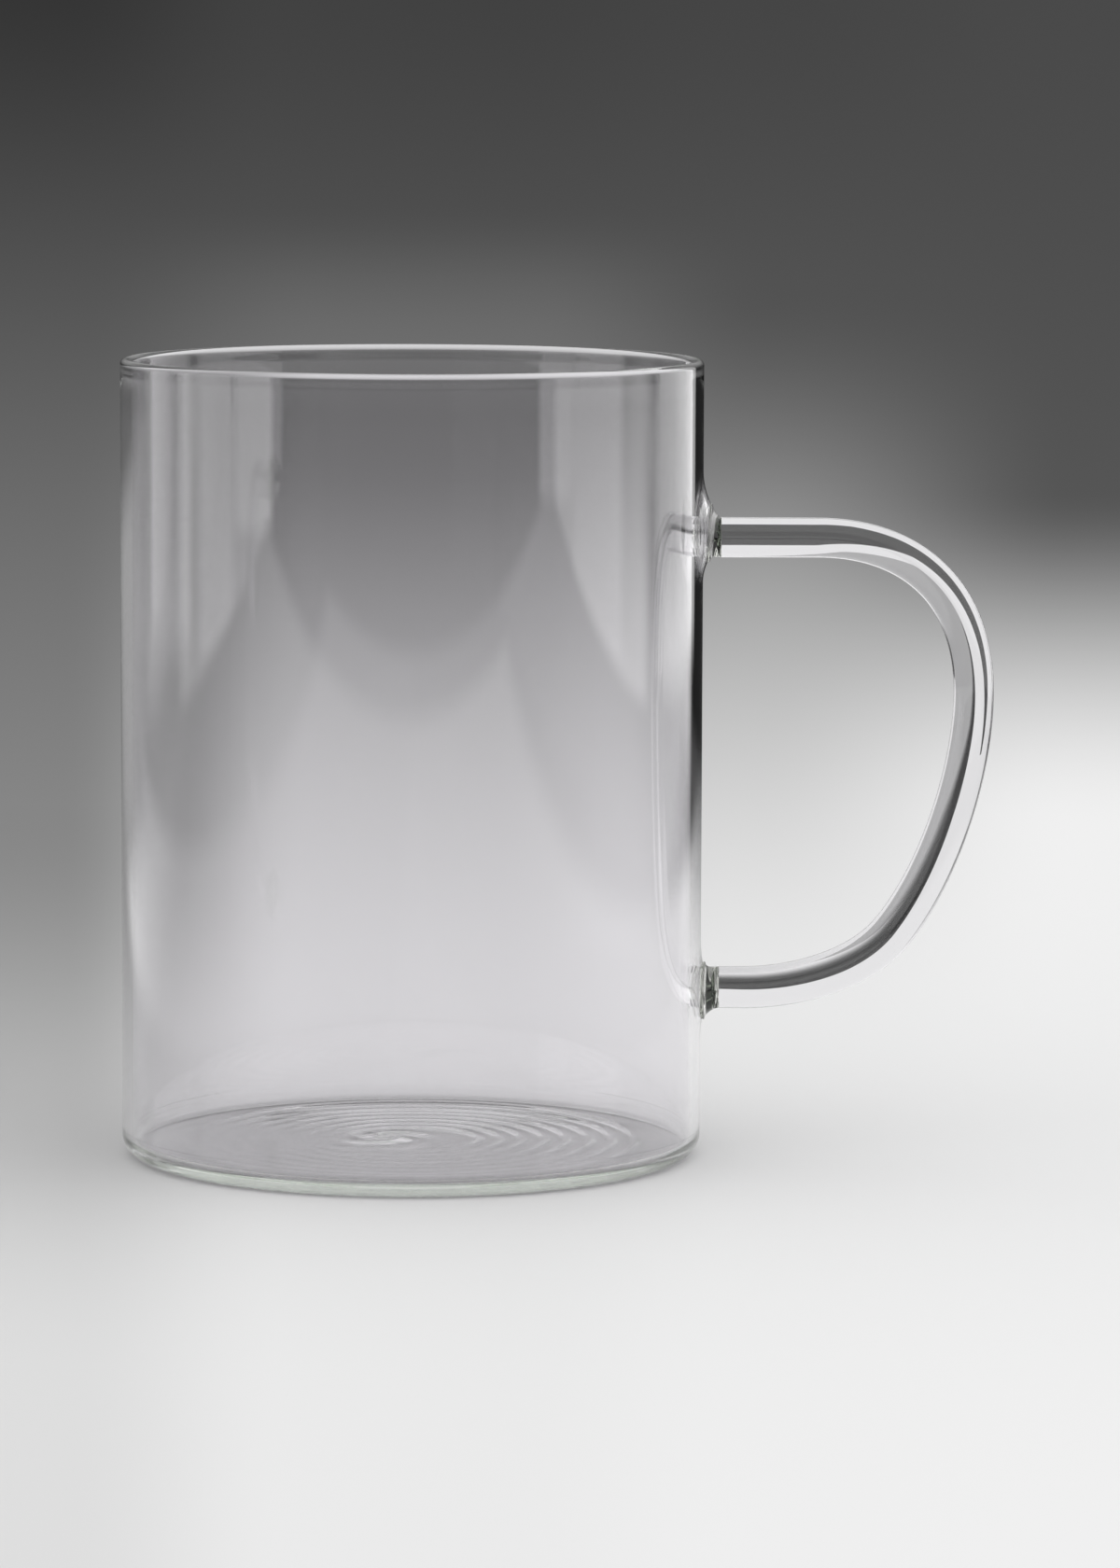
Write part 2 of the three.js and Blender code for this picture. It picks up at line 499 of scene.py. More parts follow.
@dataclass
class BodyTube(GlassPiece):
    """The tube: straight wall, fire-polished rim bead and two drawn-out bosses."""

    wall: Wall
    foot: float
    height: float
    rim_swell: float = 0.06 * MM
    rim_steps: int = 24
    rim_run_out: float = 1.6 * MM
    run_out_steps: int = 8
    coarse_row: float = 5.0 * MM
    fine_row: float = 0.9 * MM
    window_angle: float = 10.5
    window_margin: float = 1.0 * MM
    patch_loops: int = 12
    ring_margin: float = 0.98

    def window(self, boss: Boss) -> Point:
        """Lowest and highest row of the part of the wall that is redrawn round a boss."""
        low = boss.middle - boss.below - self.window_margin
        high = boss.middle + boss.above + self.window_margin
        return (low, high)

    def rows(self, top: float) -> list[float]:
        """Heights of the wall's rows, closer together round the bosses.

        Args:
            top: Height where the rim begins.

        Returns:
            The heights from the foot upwards.
        """
        stops = [(self.foot, self.coarse_row)]
        for boss in sorted(self.wall.bosses, key=lambda item: item.middle):
            low, high = self.window(boss)
            stops.append((low, self.fine_row))
            stops.append((high, self.coarse_row))
        stops.append((top, self.coarse_row))
        heights = []
        for (low, pitch), (high, _) in zip(stops, stops[1:]):
            count = max(1, round((high - low) / pitch))
            heights.extend(mix(low, high, row / count) for row in range(count))
        return [*heights, top]

    def profile(self) -> list[Point]:
        """The tube's section, closed, as radius and height.

        Returns:
            The points, up the outside, over the rim and down the inside.
        """
        bead = (self.wall.thickness + self.rim_swell) / 2
        shoulder = self.height - bead
        outside = [(self.wall.radius, z) for z in self.rows(shoulder)]
        rim = arc((self.wall.radius - bead, shoulder), bead, 0.0, 180.0, self.rim_steps)
        run_out = []
        for step in range(1, self.run_out_steps + 1):
            share = step / self.run_out_steps
            swell = self.rim_swell * (1.0 - smooth(share))
            run_out.append((self.wall.bore - swell, shoulder - self.rim_run_out * share))
        inside_top = shoulder - self.rim_run_out
        inside = [(self.wall.bore, z) for z in reversed(self.rows(inside_top))]
        return [*outside, *rim[1:], *run_out, *inside[1:], outside[0]]

    def shape(self) -> bpy.types.Object:
        """Turns the tube, draws out its bosses and dimples its inside.

        Returns:
            The modelled tube.
        """
        piece = turned(self.name, self.profile())
        for boss in self.wall.bosses:
            self._draw_out(boss)
        self._follow_inside()
        edit_mode("FACE")
        close_up()
        bpy.ops.object.mode_set(mode="OBJECT")
        return piece

    def _draw_out(self, boss: Boss) -> None:
        """Opens the outside round a boss and pulls its edge in to the melted ring.

        Args:
            boss: The boss to draw.
        """
        low, high = self.window(boss)
        half = math.radians(self.window_angle)
        limit = self.wall.radius - self.wall.thickness / 4

        def in_window(face: bmesh.types.BMFace) -> bool:
            """Whether a face of the outside lies in the window."""
            middle = face.calc_center_median()
            angle = math.atan2(middle.y, middle.x)
            return abs(angle) < half and low < middle.z < high and math.hypot(middle.x, middle.y) > limit

        mesh = edit_mode("FACE")
        select_where(mesh.faces, in_window)
        bpy.ops.mesh.delete(type="FACE")
        bpy.ops.mesh.select_mode(type="EDGE")
        mesh = bmesh.from_edit_mesh(bpy.context.object.data)
        select_where(mesh.edges, lambda edge: edge.is_boundary)
        for loop in range(self.patch_loops):
            bpy.ops.mesh.extrude_edges_move(TRANSFORM_OT_translate={"value": (0, 0, 0)})
            mesh = bmesh.from_edit_mesh(bpy.context.object.data)
            share = 1.0 / (self.patch_loops - loop)
            for vert in mesh.verts:
                if vert.select:
                    self._pull_in(vert, boss, share)
        bmesh.update_edit_mesh(bpy.context.object.data)
        bpy.ops.mesh.edge_face_add()
        bpy.ops.mesh.poke()
        bpy.ops.object.mode_set(mode="OBJECT")

    def _pull_in(self, vert: bmesh.types.BMVert, boss: Boss, share: float) -> None:
        """Moves a vertex part of the way to the ring and lays it on the drawn-out wall.

        Args:
            vert: The vertex to move.
            boss: The boss whose ring it goes to.
            share: How much of the way it goes.
        """
        angle = math.atan2((vert.co.z - boss.middle) / boss.ring_radius, vert.co.y / boss.ring_width)
        ring_y, ring_z = boss.ring_point(angle)
        y = mix(vert.co.y, ring_y, share)
        z = mix(vert.co.z, ring_z, share)
        vert.co = (self.wall.outside(y, z), y, z)

    def _follow_inside(self) -> None:
        """Dimples the inside of the wall behind the bosses."""
        mesh = edit_mode("VERT")
        limit = self.wall.bore + self.wall.thickness / 4
        for vert in mesh.verts:
            inner = math.hypot(vert.co.x, vert.co.y) < limit
            if inner and vert.co.x > 0.0:
                vert.co.x += self.wall.inside_shift(vert.co.y, vert.co.z)
        bmesh.update_edit_mesh(bpy.context.object.data)
        bpy.ops.object.mode_set(mode="OBJECT")

    def is_fused(self, face: bmesh.types.BMFace) -> bool:
        """The lower edge, melted to the base, and the two rings, melted to the seals."""
        if max(vert.co.z for vert in face.verts) < self.foot + MERGE_DISTANCE:
            return True
        middle = face.calc_center_median()
        if middle.x < self.wall.radius - self.wall.thickness / 4:
            return False
        for boss in self.wall.bosses:
            across = middle.y / boss.ring_width
            up = (middle.z - boss.middle) / boss.ring_radius
            if math.hypot(across, up) < self.ring_margin:
                return True
        return False


@dataclass
class Base(GlassPiece):
    """The pressed bottom: flat underside, rounded heel, rippled floor and a closing swirl."""

    wall: Wall
    seam: float
    heel: float = 3.0 * MM
    fillet: float = 1.2 * MM
    thickness: float = 2.1 * MM
    underside_rows: int = 6
    heel_steps: int = 16
    fillet_steps: int = 10
    ripple_radii: tuple[float, ...] = (9.2, 12.3, 15.2, 18.4, 21.4, 24.6, 27.8, 31.0)
    ripple_depth: float = 0.11 * MM
    ripple_width: float = 0.85 * MM
    ripple_side: Point = (0.5, 0.86)
    ripple_lead: float = 0.25
    ripple_span: float = 1.1
    ripple_least: float = 0.08
    floor_row: float = 0.25 * MM
    swirl_place: Point = (-3.4 * MM, 0.4 * MM)
    swirl_reach: float = 4.6 * MM
    swirl_depth: float = 0.2 * MM
    swirl_pitch: float = 0.9 * MM
    swirl_arms: float = 2.0

    def profile(self) -> list[Point]:
        """The base's section as radius and height.

        Returns:
            The points, from the axis along the underside, round the heel and back over the floor.
        """
        radius = self.wall.radius
        flat = radius - self.heel
        underside = [(flat * row / self.underside_rows, 0.0) for row in range(self.underside_rows)]
        heel = arc((flat, self.heel), self.heel, -90.0, 0.0, self.heel_steps)
        floor_radius = self.wall.bore - self.fillet
        centre = (floor_radius, self.thickness + self.fillet)
        corner = arc(centre, self.fillet, 0.0, -90.0, self.fillet_steps)
        rows = round(floor_radius / self.floor_row)
        floor = [(floor_radius * (1.0 - row / rows), self.thickness) for row in range(1, rows + 1)]
        return [*underside, *heel, (radius, self.seam), (self.wall.bore, self.seam), *corner, *floor]

    def shape(self) -> bpy.types.Object:
        """Turns the base and presses the ripples and the swirl into its floor.

        Returns:
            The modelled base.
        """
        piece = turned(self.name, self.profile())
        mesh = edit_mode("VERT")
        reach = self.wall.bore - self.fillet - MERGE_DISTANCE
        for vert in mesh.verts:
            radius = math.hypot(vert.co.x, vert.co.y)
            if abs(vert.co.z - self.thickness) < MERGE_DISTANCE and radius < reach:
                vert.co.z += self.ripple(vert.co.x, vert.co.y) + self.swirl(vert.co.x, vert.co.y)
        bmesh.update_edit_mesh(piece.data)
        bpy.ops.object.mode_set(mode="OBJECT")
        return piece

    def ripple(self, x: float, y: float) -> float:
        """Height of the pressing rings, which are strongest at the back on the handle's side.

        Args:
            x: Place on the floor.
            y: Place on the floor.

        Returns:
            The height above the plain floor.
        """
        radius = math.hypot(x, y)
        towards = (self.ripple_side[1] * y + self.ripple_side[0] * x) / max(radius, MM)
        side = smooth((towards + self.ripple_lead) / self.ripple_span)
        height = 0.0
        for ring in self.ripple_radii:
            height += math.exp(-(((radius - ring * MM) / self.ripple_width) ** 2))
        return self.ripple_depth * height * mix(self.ripple_least, 1.0, side)

    def swirl(self, x: float, y: float) -> float:
        """Height of the small swirl where the base was closed.

        Args:
            x: Place on the floor.
            y: Place on the floor.

        Returns:
            The height above the plain floor.
        """
        dx = x - self.swirl_place[0]
        dy = y - self.swirl_place[1]
        radius = math.hypot(dx, dy)
        angle = math.atan2(dy, dx)
        fade = math.exp(-((radius / self.swirl_reach) ** 2))
        wave = math.sin(self.swirl_arms * angle + radius / self.swirl_pitch)
        return self.swirl_depth * fade * wave * smooth(radius / MM)

    def is_fused(self, face: bmesh.types.BMFace) -> bool:
        """The upper edge, melted to the tube."""
        return min(vert.co.z for vert in face.verts) > self.seam - MERGE_DISTANCE


@dataclass
class HandleRod(GlassPiece):
    """The solid rod, bent into a D, thicker where the bends were pushed together."""

    wall: Wall
    upper: Boss
    lower: Boss
    start: float
    radius: float
    grip_x: float
    upper_run: float = 15.9 * MM
    upper_ease: float = 12.9 * MM
    grip_drop: float = 21.3 * MM
    grip_upper_ease: float = 13.6 * MM
    grip_lower_ease: float = 11.1 * MM
    turn_reach: float = 26.3 * MM
    turn_rise: float = 7.7 * MM
    turn_slope: float = math.radians(51)
    turn_upper_ease: float = 10.2 * MM
    turn_lower_ease: float = 6.8 * MM
    lower_run: float = 5.9 * MM
    lower_ease: float = 7.2 * MM
    fullness: tuple[float, ...] = (0.995, 0.985, 0.985, 1.07, 1.04, 1.03)
    steps: int = 40
    roundness: int = 14

    def shape(self) -> bpy.types.Object:
        """Lays a curve along the rod's middle, swells it to the rod and makes it a mesh.

        Returns:
            The modelled rod.
        """
        clear_selection()
        bpy.ops.curve.primitive_bezier_curve_add(location=(0, 0, 0))
        piece = bpy.context.object
        piece.name = self.name
        curve = piece.data
        curve.dimensions = "3D"
        curve.resolution_u = self.steps
        curve.bevel_depth = self.radius
        curve.bevel_resolution = self.roundness
        curve.use_fill_caps = True
        spline = curve.splines[0]
        stations = self.stations()
        spline.bezier_points.add(len(stations) - 2)
        for knot, (place, before, after), full in zip(spline.bezier_points, stations, self.fullness):
            knot.handle_left_type = "FREE"
            knot.handle_right_type = "FREE"
            knot.co = place
            knot.handle_left = before
            knot.handle_right = after
            knot.radius = full
        bpy.ops.object.convert(target="MESH")
        piece = bpy.context.object
        edit_mode("VERT")
        close_up()
        bpy.ops.object.mode_set(mode="OBJECT")
        return piece

    def stations(self) -> list[tuple[Vector, Vector, Vector]]:
        """The rod's path as knots.

        Returns:
            Place, handle before and handle after of each knot, from the upper end to the lower.
        """
        top = self.upper.rod_height
        bottom = self.lower.rod_height
        grip = top - self.grip_drop
        edge = self.wall.radius
        bend_x = edge + self.upper_run
        run_x = edge + self.lower_run
        turn = Vector((edge + self.turn_reach, 0.0, bottom + self.turn_rise))
        along = Vector((-math.cos(self.turn_slope), 0.0, -math.sin(self.turn_slope)))
        third = (bend_x - self.start) / 3
        short = (run_x - self.start) / 3

        def at(x: float, z: float) -> Vector:
            """A point in the handle's plane."""
            return Vector((x, 0.0, z))

        return [
            (at(self.start, top), at(self.start - third, top), at(self.start + third, top)),
            (at(bend_x, top), at(bend_x - third, top), at(bend_x + self.upper_ease, top)),
            (
                at(self.grip_x, grip),
                at(self.grip_x, grip + self.grip_upper_ease),
                at(self.grip_x, grip - self.grip_lower_ease),
            ),
            (turn, turn - along * self.turn_upper_ease, turn + along * self.turn_lower_ease),
            (at(run_x, bottom), at(run_x + self.lower_ease, bottom), at(run_x - short, bottom)),
            (at(self.start, bottom), at(self.start + short, bottom), at(self.start - short, bottom)),
        ]

    def is_fused(self, face: bmesh.types.BMFace) -> bool:
        """The two flat ends, melted to the seals."""
        return max(vert.co.x for vert in face.verts) < self.start + MERGE_DISTANCE


@dataclass
class HandleSeal(GlassPiece):
    """The melt that flares from the rod's end to a saddle-shaped ring on the wall."""

    wall: Wall
    boss: Boss
    rod_start: float
    rod_radius: float
    sides: int = 96
    loops: int = 72
    flare: float = 2.3
    lip: float = 0.38 * MM
    lip_place: float = 0.11
    lip_width: float = 0.08

    def shape(self) -> bpy.types.Object:
        """Starts from the ring on the wall and extrudes it to the rod's end.

        Returns:
            The modelled seal.
        """
        clear_selection()
        bpy.ops.mesh.primitive_circle_add(
            vertices=self.sides,
            radius=self.boss.ring_radius,
            location=(self.wall.radius, 0.0, self.boss.middle),
            rotation=(0.0, math.pi / 2, 0.0),
        )
        piece = bpy.context.object
        piece.name = self.name
        bpy.ops.object.transform_apply(location=True, rotation=True, scale=True)
        mesh = edit_mode("VERT")
        ring = {}
        for vert in mesh.verts:
            ring[vert.index] = math.atan2(vert.co.z - self.boss.middle, vert.co.y)
        for vert in mesh.verts:
            vert.co = self.point(ring[vert.index], 0.0)
        bmesh.update_edit_mesh(piece.data)
        bpy.ops.mesh.select_all(action="SELECT")
        bpy.ops.mesh.edge_face_add()
        bpy.ops.mesh.select_mode(type="EDGE")
        for loop in range(1, self.loops + 1):
            bpy.ops.mesh.extrude_edges_move(TRANSFORM_OT_translate={"value": (0, 0, 0)})
            mesh = bmesh.from_edit_mesh(piece.data)
            before = self.centre((loop - 1) / self.loops)
            for vert in mesh.verts:
                if vert.select:
                    angle = self.angle_of(vert.co, before)
                    vert.co = self.point(angle, loop / self.loops)
            bmesh.update_edit_mesh(piece.data)
        bpy.ops.mesh.edge_face_add()
        close_up()
        bpy.ops.object.mode_set(mode="OBJECT")
        return piece

    def angle_of(self, place: Vector, centre: float) -> float:
        """Angle of a vertex round the seal's middle line."""
        stretch = self.boss.ring_width / self.boss.ring_radius
        return math.atan2(place.z - centre, place.y / stretch)

    def centre(self, share: float) -> float:
        """Height of the seal's middle line, from the ring's middle to the rod's axis."""
        return mix(self.boss.middle, self.boss.rod_height, smooth(share))

    def point(self, angle: float, share: float) -> Vector:
        """A point of the flare.

        Args:
            angle: Angle round the middle line.
            share: 0 at the wall, 1 at the rod.

        Returns:
            The point.
        """
        ring_y, ring_z = self.boss.ring_point(angle)
        foot = self.wall.outside(ring_y, ring_z) + JOINT_GAP
        x = mix(foot, self.rod_start - JOINT_GAP, share)
        spread = (1.0 - share) ** self.flare
        bead = self.lip * math.exp(-(((share - self.lip_place) / self.lip_width) ** 2))
        half_width = mix(self.rod_radius, self.boss.ring_width, spread) + bead
        half_height = mix(self.rod_radius, self.boss.ring_radius, spread) + bead
        y = half_width * math.cos(angle)
        z = self.centre(share) + half_height * math.sin(angle)
        return Vector((x, y, z))

    def is_fused(self, face: bmesh.types.BMFace) -> bool:
        """The foot, melted to the wall, and the flat end, melted to the rod."""
        return len(face.verts) > 4


def counted(graph: Graph, what: str, operation: str, limit: float) -> Value:
    """Compares one of Light Path's counts with a limit.

    Args:
        graph: Tree to add to.
        what: Light Path's name for the count.
        operation: The Math operation that compares.
        limit: What the count is compared with.

    Returns:
        1 where the comparison holds and 0 elsewhere.
    """
    count = graph.node("ShaderNodeLightPath", output=what)
    return graph.node("ShaderNodeMath", {"operation": operation}, {0: count, 1: limit})


def mirrored(graph: Graph) -> Value:
    """1 for light that a glass surface mirrored on its way, and 0 for other light."""
    return counted(graph, "Glossy Depth", "GREATER_THAN", NO_MIRRORING)


def show_in_glass(card: bpy.types.Object, material: bpy.types.Material, kept: Value, look: Value) -> None:
    """Dresses a panel or card of the stage that shows only in the glass.

    Args:
        card: The panel or card.
        material: Its new material.
        kept: 1 where it shows and 0 where it is clear.
        look: Its shader where it shows.
    """
    graph = kept.graph
    clear = graph.node("ShaderNodeBsdfTransparent")
    shown = graph.node("ShaderNodeMixShader", {}, {0: kept, 1: clear, 2: look})
    graph.node("ShaderNodeOutputMaterial", {}, {"Surface": shown})
    card.data.materials.append(material)
    card.visible_camera = False
    card.visible_diffuse = False
    card.visible_shadow = False


@dataclass(frozen=True)
class Softbox:
    """An upright glowing panel with feathered ends, which shows as a reflection in the glass."""

    name: str
    start: Point
    end: Point
    radiance: float
    foot: float
    feather: float = 0.08
    height: float = 0.5

    def add(self) -> None:
        """Stands the panel on the floor."""
        clear_selection()
        first = Vector((*self.start, 0.0))
        last = Vector((*self.end, 0.0))
        run = last - first
        middle = (first + last) / 2 + Vector((0.0, 0.0, self.height / 2))
        turn = (math.pi / 2, 0.0, math.atan2(run.y, run.x))
        bpy.ops.mesh.primitive_plane_add(size=1.0, location=middle, rotation=turn)
        panel = bpy.context.object
        panel.name = self.name
        panel.scale = (run.length, self.height, 1.0)
        bpy.ops.object.transform_apply(location=True, rotation=True, scale=True)
        material, graph = new_material(self.name)
        along, up, _ = graph.coordinates("UV")
        fade = along.ramp(0.0, self.feather) * along.ramp(1.0 - self.feather, 1.0, 1.0, 0.0)
        fade = fade * up.ramp(0.0, self.foot / self.height)
        glow = graph.node("ShaderNodeEmission", {}, {"Strength": self.radiance})
        show_in_glass(panel, material, fade * mirrored(graph), glow)


class HandlePath:
    """The rod's middle line, measured from its upper end and carried straight on at both ends."""

    def __init__(self, stations: Sequence[tuple[Vector, Vector, Vector]], steps: int = 60) -> None:
        """Samples the line from its knots.

        Args:
            stations: Place, handle before and handle after of each knot.
            steps: Samples between two knots.
        """
        self.points: list[Vector] = []
        for (place, _, after), (following, before, _) in zip(stations, stations[1:]):
            self.points.extend(interpolate_bezier(place, after, before, following, steps)[:-1])
        self.points.append(stations[-1][0])
        self.lengths = [0.0]
        for first, second in zip(self.points, self.points[1:]):
            self.lengths.append(self.lengths[-1] + (second - first).length)

    def at(self, along: float) -> tuple[Vector, Vector]:
        """Reads the line.

        Args:
            along: Length from the upper end; it may lie beyond both ends.

        Returns:
            The point and the direction out of the handle's loop.
        """
        index = 0
        while index < len(self.points) - 2 and self.lengths[index + 1] < along:
            index += 1
        first = self.points[index]
        run = (self.points[index + 1] - first).normalized()
        return first + run * (along - self.lengths[index]), Vector((-run.z, 0.0, run.x))


class Crossing(Enum):
    """Which light a card shows in, by how it went through the glass before."""

    ROD = "LESS_THAN"
    EDGE = "GREATER_THAN"

    def mask(self, graph: Graph) -> Value:
        """1 for light that crossed one body of glass, straight through or mirrored in its wall."""
        once = counted(graph, "Transmission Depth", "LESS_THAN", ONE_BODY)
        return once * counted(graph, "Glossy Depth", self.value, NO_MIRRORING)


@dataclass(frozen=True)
class Strip:
    """A glowing card cut to the handle's curve, which shows only through the handle's glass and paints
    its stripes there: painted shade where the card is dark, painted highlight where it is pale.

    It hangs some millimetres behind the handle. Each knot is a length along the handle and the card's
    inner and outer edge there, in millimetres out of the loop. A share of its width is feathered at the
    outer edge.
    """

    name: str
    grey: float
    behind: float
    knots: tuple[Knot, ...]
    feather: float = 0.05
    columns: int = 110

    def edges(self, along: float) -> Point:
        """Reads the card's outline.

        Args:
            along: Length along the handle.

        Returns:
            The inner and the outer edge there.
        """
        for (a, inner_a, outer_a), (b, inner_b, outer_b) in zip(self.knots, self.knots[1:]):
            if along <= b:
                share = (along - a) / (b - a)
                return mix(inner_a, inner_b, share), mix(outer_a, outer_b, share)
        return self.knots[-1][1:]

    def add(self, path: HandlePath) -> None:
        """Cuts the card and hangs it.

        Args:
            path: Middle line of the handle.
        """
        clear_selection()
        bpy.ops.mesh.primitive_grid_add(x_subdivisions=self.columns, y_subdivisions=1, size=1.0)
        card = bpy.context.object
        card.name = self.name
        first = self.knots[0][0]
        last = self.knots[-1][0]
        for vert in card.data.vertices:
            along = mix(first, last, vert.co.x + 0.5)
            inner, outer = self.edges(along)
            offset = mix(inner, outer, vert.co.y + 0.5)
            place, outwards = path.at(along * MM)
            vert.co = place + outwards * (offset * MM) + Vector((0.0, self.behind * MM, 0.0))
        material, graph = new_material(self.name)
        _, across, _ = graph.coordinates("UV")
        kept = across.ramp(1.0 - self.feather, 1.0, 1.0, 0.0) * Crossing.ROD.mask(graph)
        # The card glows at its grey: dark cards paint shade and pale cards paint highlights, seen only
        # through the handle.
        painted_stripe_glow = graph.node("ShaderNodeEmission", {}, {"Strength": self.grey})
        show_in_glass(card, material, kept, painted_stripe_glow)


@dataclass(frozen=True)
class Flag:
    """A dark card on the floor that shows only in light mirrored inside a wall, to paint shade along its
    edges.

    It is a soft-edged wedge that opens away from the mug. The left edge, the right edge and the blur
    are each given beside the mug and as growth over a metre of depth.
    """

    name: str = "painted_edge_shade_flag"
    grey: float = 0.015
    near: Point = (0.05, 0.55)
    left: Point = (0.03, -0.1)
    right: Point = (0.05, 0.62)
    blur: Point = (0.01, 0.05)
    lift: float = 1.0 * MM
    far: float = 3.2

    def add(self) -> None:
        """Lays the card."""
        clear_selection()
        bpy.ops.mesh.primitive_plane_add(size=self.far, location=(0.0, self.far / 2, self.lift))
        bpy.ops.object.transform_apply(location=True, rotation=True, scale=True)
        card = bpy.context.object
        card.name = self.name
        material, graph = new_material(self.name)
        # Painted shade: the dark card shows only inside the wall, where it darkens the wall's edges.
        painted_edge_shade = graph.node("ShaderNodeBsdfDiffuse", {}, {"Color": (*[self.grey] * 3, 1.0)})
        show_in_glass(card, material, self._wedge(graph) * Crossing.EDGE.mask(graph), painted_edge_shade)

    def _wedge(self, graph: Graph) -> Value:
        """Draws the wedge.

        Args:
            graph: Tree to add to.

        Returns:
            1 on the wedge and 0 beside it.
        """
        across, depth, _ = graph.coordinates("Object")
        soft = depth * self.blur[1] + self.blur[0]
        from_left = (across - (depth * self.left[1] + self.left[0])) / soft
        to_right = (depth * self.right[1] + self.right[0] - across) / soft
        return depth.ramp(*self.near) * from_left.ramp(-1.0, 1.0) * to_right.ramp(-1.0, 1.0)


@dataclass(frozen=True)
class Falloff:
    """How the floor darkens into the distance along one line of sight: a painted pool of light near the
    mug fading into painted shade.
    """

    near: float
    middle: float
    far: float
    begin: float
    end: float
    sag: float = 1.5

    def grey(self, graph: Graph, share: Value) -> Value:
        """The floor's grey.

        Args:
            graph: Tree to add to.
            share: Distance, squeezed so that 1 is the horizon.

        Returns:
            The grey.
        """
        pool = share.ramp(self.begin, self.end, self.near - self.middle, 0.0)
        sockets = {"Value": share, 1: self.end, 2: 1.0, 3: 1.0, 4: 0.0}
        rest = graph.node("ShaderNodeMapRange", {}, sockets) ** self.sag
        return pool + rest * (self.middle - self.far) + self.far


